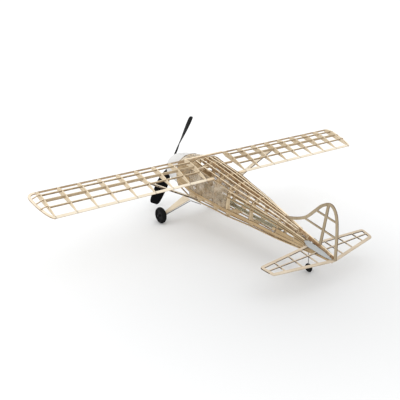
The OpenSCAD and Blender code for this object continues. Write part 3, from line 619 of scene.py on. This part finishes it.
def blade_rings(half_turn):
    """One blade, as rings round its section; half_turn gives the opposite blade."""
    rings = []
    for radius, chord, thick in spline(BLADE, 5):
        angle = min(BLADE_STEEPEST, math.atan(PROP_PITCH / (2 * math.pi * radius)))
        ring = []
        for k in range(28):
            turn = 2 * math.pi * k / 28
            c, s = math.cos(turn), math.sin(turn)
            u = chord / 2 * c
            v = thick / 2 * s * (1 + 0.25 * c) / 1.1 + chord * BLADE_CAMBER * (1 - c * c)
            x = -u * math.cos(angle) + v * math.sin(angle)
            y = -u * math.sin(angle) - v * math.cos(angle)
            z = radius
            if half_turn:
                x, z = -x, -z
            ring.append((
                x * math.cos(PROP_REST) - z * math.sin(PROP_REST),
                y + (HUB_FRONT + HUB_BACK) / 2,
                THRUST_Z + x * math.sin(PROP_REST) + z * math.cos(PROP_REST),
            ))
        rings.append(ring)
    return skin(rings)


def make_propeller():
    hub = lathe(
        [(0, 0.75), (0, 3.7), (0.4, 4.3), (1.2, HUB_R), (3.2, HUB_R), (3.6, 4.4), (5.4, 4.4),
         (5.8, HUB_R), (7.4, HUB_R), (8.4, 4.2), (9, 3.2), (9, 1.8), (8.3, 1.6), (8.3, 0.75)],
        (0, HUB_BACK, THRUST_Z), (0, -1, 0),
    )
    piece("propeller_moulding", [blade_rings(False), blade_rings(True), hub], "prop_black",
          "propeller", 38, ["propeller"])


# ------------------------------------------------------------------ wheels and wires
WHEEL = Vector((61, -79.7, -98.4))
WHEEL_R, WHEEL_W = 13.8, 8.5
TAIL_SPIN = next(j for j in frame["joints"] if j["name"] == "tail_wheel_spin")
TAIL_WHEEL = DATUM.inverted() @ Vector(TAIL_SPIN["pos_m"]) / MM
GEAR_WIRE_R, TAIL_WIRE_R = 0.6, 0.45
TAIL_WHEEL_R, TAIL_WHEEL_W = 6.4, 2.6
# Room between a wheel's bore and the wire in it
BORE_GAP = 0.05


def tyre_profile(radius, width, bead):
    """Outline of a solid rubber tyre, with a moulding seam and a raised ring on each side."""
    half = width / 2
    rows = []
    for k in range(25):
        turn = math.pi * (k / 24 - 0.5)
        rows.append((half * math.sin(turn), radius - half + half * math.cos(turn)))
    rows[12] = (0, radius)
    rows[11] = (-0.06 * half, radius - 0.12)
    rows[13] = (0.06 * half, radius - 0.12)
    wall = radius - half
    side = [(0.97 * half, wall - 0.5), (0.86 * half, wall - 0.9), (0.84 * half, bead)]
    return [(-x, r) for x, r in reversed(side)] + rows + side


def hub_profile(width, bead, bore):
    """Outline of a wheel's centre: a dished web between its boss and its rim."""
    half = width / 2
    return [
        (-0.98 * half, bore), (-0.98 * half, bore + 1.4), (-0.62 * half, bore + 1.9),
        (-0.5 * half, bead - 1.1), (-0.8 * half, bead - 0.5), (-0.8 * half, bead - 0.02),
        (0.8 * half, bead - 0.02), (0.8 * half, bead - 0.5), (0.5 * half, bead - 1.1),
        (0.62 * half, bore + 1.9), (0.98 * half, bore + 1.4), (0.98 * half, bore),
    ]


def make_wheel(name, centre, radius, width, bore):
    bead = radius - width / 2 - 1
    piece(f"{name}_tyre", [lathe(tyre_profile(radius, width, bead), centre, (1, 0, 0), 96)],
          "tyre_black", name, 35, [name])
    piece(f"{name}_hub", [lathe(hub_profile(width, bead, bore), centre, (1, 0, 0))],
          "hub_black", name, 35)


def make_undercarriage():
    for name, sign in (("left_wheel", 1), ("right_wheel", -1)):
        centre = Vector((sign * WHEEL.x, WHEEL.y, WHEEL.z))
        make_wheel(name, centre, WHEEL_R, WHEEL_W, GEAR_WIRE_R + BORE_GAP)
    make_wheel("tail_wheel", TAIL_WHEEL, TAIL_WHEEL_R, TAIL_WHEEL_W, TAIL_WIRE_R + BORE_GAP)
    parts = []
    for sign in (1, -1):
        corners = [(17, -34, -64), (20.4, -56.2, -68.2), (53.4, -76, -97.6),
                   (54.7, WHEEL.y, WHEEL.z), (67.65, WHEEL.y, WHEEL.z)]
        line = rounded_path([(sign * x, y, z) for x, y, z in corners], 1.6)
        parts.append(tube(line, GEAR_WIRE_R))
    piece("undercarriage_wires", parts, "wire_steel", "airframe", 50, ["axle_wires"])
    x, y, z = TAIL_WHEEL
    side = TAIL_WHEEL_W / 2 + 1
    corners = [(0, 174, -31.1), (0, 184, -29.5), (side, y - 0.6, z + 8), (side, y, z),
               (-side - 0.6, y, z)]
    cap = lathe([(0, 0.05), (0, 1), (0.6, 1), (0.8, 0.7), (0.8, 0.05)], (-side - 0.5, y, z),
                (1, 0, 0), 24)
    piece("tail_wheel_leg", [tube(rounded_path(corners, 3.2), TAIL_WIRE_R), cap], "wire_steel",
          "airframe", 50, ["tail_wheel_wire"])


# ------------------------------------------------------------------ rubber motor
# The skein: distance aft, height, spread of each loop's two strands, spread of the four loops
SKEIN = [
    (-81.9, -38.4, 1.25, 0.9), (-74, -38.6, 1.5, 1.3), (-60, -39.1, 2, 1.9), (-40, -39.5, 2.5, 2.3),
    (-15, -39, 3, 2.6), (8, -37.4, 3.4, 2.6), (32, -34.7, 3.8, 2.6), (55, -31.5, 4.3, 2.8),
    (79, -28.9, 4.2, 3), (100, -27.2, 3.8, 3.4), (114, -26.0, 2.9, 3.8), (125.6, -25.5, 2.1, 4.1),
]
STRAND_W, STRAND_T = 2.7, 1.0
# A strip's section with its corners eased, as shares of half its width and half its thickness
STRIP = ((1, 0.5), (0.85, 1), (-0.85, 1), (-1, 0.5), (-1, -0.5), (-0.85, -1), (0.85, -1), (1, -0.5))
LOOPS = 4
# Share of the length in which the strands turn a quarter, and how far a slack strand wanders
QUARTER_BY = 0.55
SLACK = 0.9


def ribbon(line, wides, width):
    """A flat rubber strip along a closed line; wides are the directions of its width."""
    rings = []
    count = len(line)
    for i, p in enumerate(line):
        along = (line[(i + 1) % count] - line[i - 1]).normalized()
        wide = (wides[i] - along * wides[i].dot(along)).normalized()
        thick = along.cross(wide)
        half, depth = width[i] / 2, STRAND_T / 2
        rings.append([p + wide * half * u + thick * depth * v for u, v in STRIP])
    return skin(rings, closed=True)


def loop_end(start, end, way):
    """The half circle that joins a loop's two strands; way is 1 at the tail end, -1 at the nose."""
    centre, gap = (start[0] + end[0]) / 2, start[0] - end[0]
    return [
        (centre + way * (gap / 2 * math.cos(t) + Vector((0, gap.length / 2 * math.sin(t), 0))),
         start[1], start[2])
        for t in np.linspace(0, math.pi, 9)[1:-1]
    ]


def make_motor():
    """Slack loops of flat rubber from the hook on the shaft to the peg behind the cabin.

    Each loop's two strands leave the hook side by side and turn a quarter on their way to the
    peg, and each wanders by its own small waves where the skein is slack.
    """
    random.seed(7)
    rows = spline(SKEIN, 6)
    length = rows[-1][0] - rows[0][0]
    parts = []
    for loop in range(LOOPS):
        place = 2 * loop / (LOOPS - 1) - 1
        runs = []
        for hand in (1, -1):
            wave = [random.uniform(-1, 1) for _ in range(4)]
            run = []
            for y, z, apart, spread in rows:
                u = (y - rows[0][0]) / length
                turn = math.pi / 2 * min(1, u / QUARTER_BY) ** 1.2
                loose = SLACK * math.sin(math.pi * u) ** 2
                a = apart * hand + loose * (wave[0] + 0.5 * wave[1] * math.sin(7 * u))
                b = spread * place + loose * (wave[2] + 0.6 * wave[3] * math.sin(9 * u))
                c, s = math.cos(turn), math.sin(turn)
                wide = Vector((-s, 0, c))
                size = STRAND_W * (0.5 + 0.5 * min(1, 6 * u))
                run.append((Vector((a * c - b * s, y, z + a * s + b * c)), wide, size))
            runs.append(run)
        out, back = runs
        line = out + loop_end(out[-1], back[-1], 1) + back[::-1] + loop_end(out[0], back[0], -1)
        parts.append(ribbon(*zip(*line)))
    motor = piece("rubber_loops", parts, "motor_rubber", None, 60, ["rubber_motor"])
    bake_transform(motor)


make_camera()
make_light()
make_floor()
make_materials()
dress_nodes()
make_cowl()
make_propeller()
make_undercarriage()
make_motor()

bpy.context.view_layer.update()
